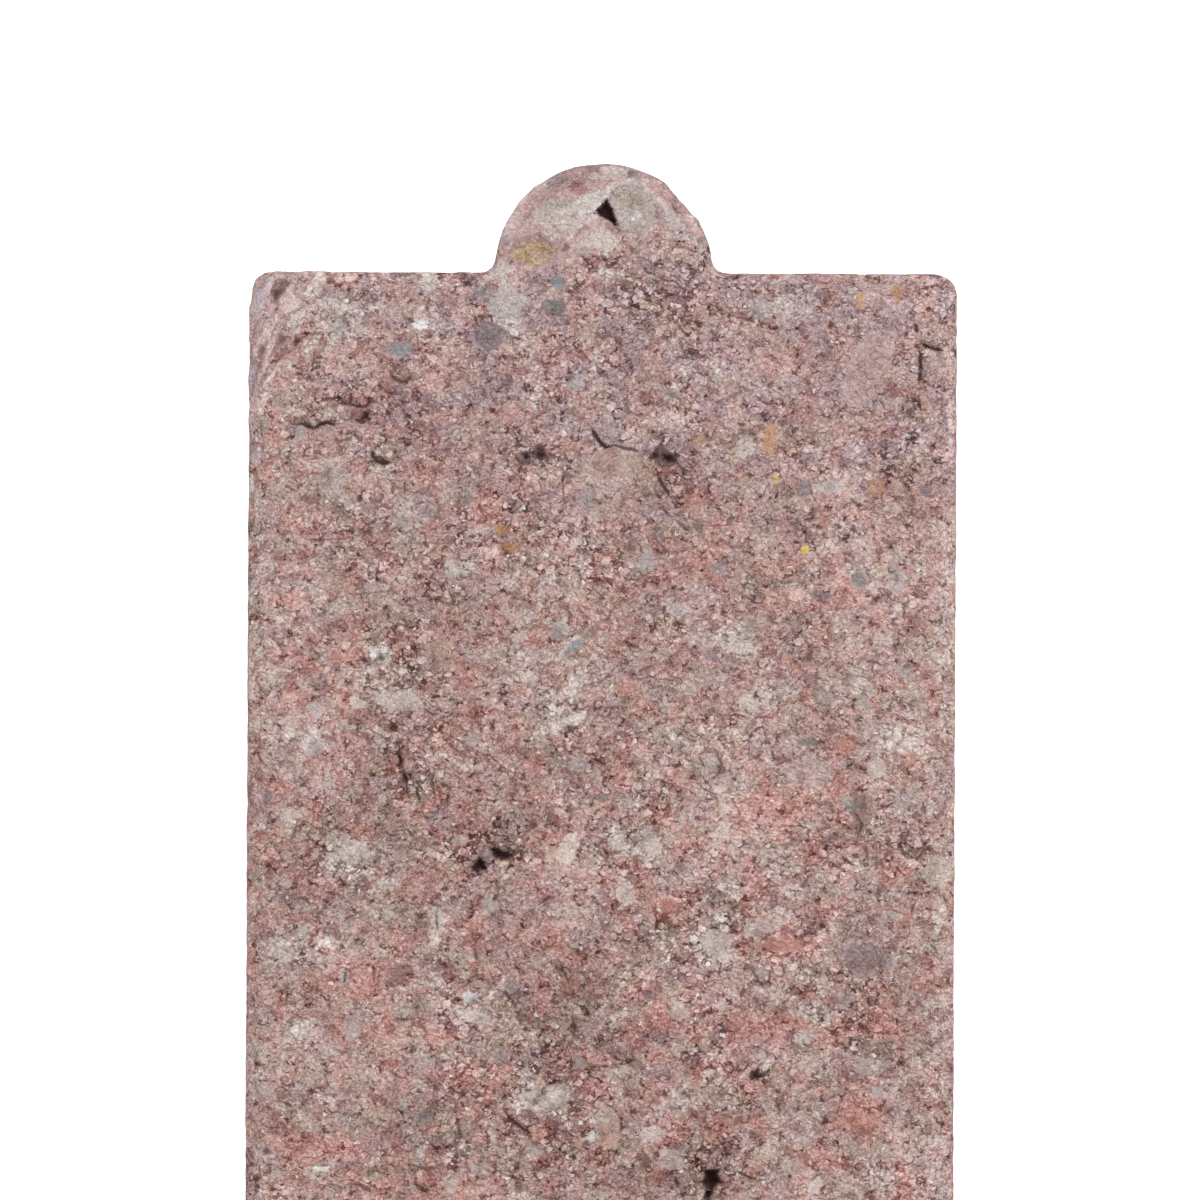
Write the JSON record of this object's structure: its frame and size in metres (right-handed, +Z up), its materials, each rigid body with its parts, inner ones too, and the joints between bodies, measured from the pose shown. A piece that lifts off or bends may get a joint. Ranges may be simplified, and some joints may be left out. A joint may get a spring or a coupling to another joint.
{
  "type": "concrete garden curb",
  "caption": "Long upright slab of reddish concrete, with a half-round tongue up one end and a half-round groove up the other, so that such curbs lock end to end.",
  "frame": {"origin": "middle of the bedding face, midway between the two end faces", "axes": "+X along the curb towards the tongue, +Y across its thickness, +Z up, from the bedding face to the exposed top face"},
  "size_m": [1.0093, 0.06, 0.2],
  "materials": {
    "concrete": "rough, open-grained, pigmented red-brown"
  },
  "bodies": {
    "root": {"curb": "concrete"}
  },
  "joints": []
}
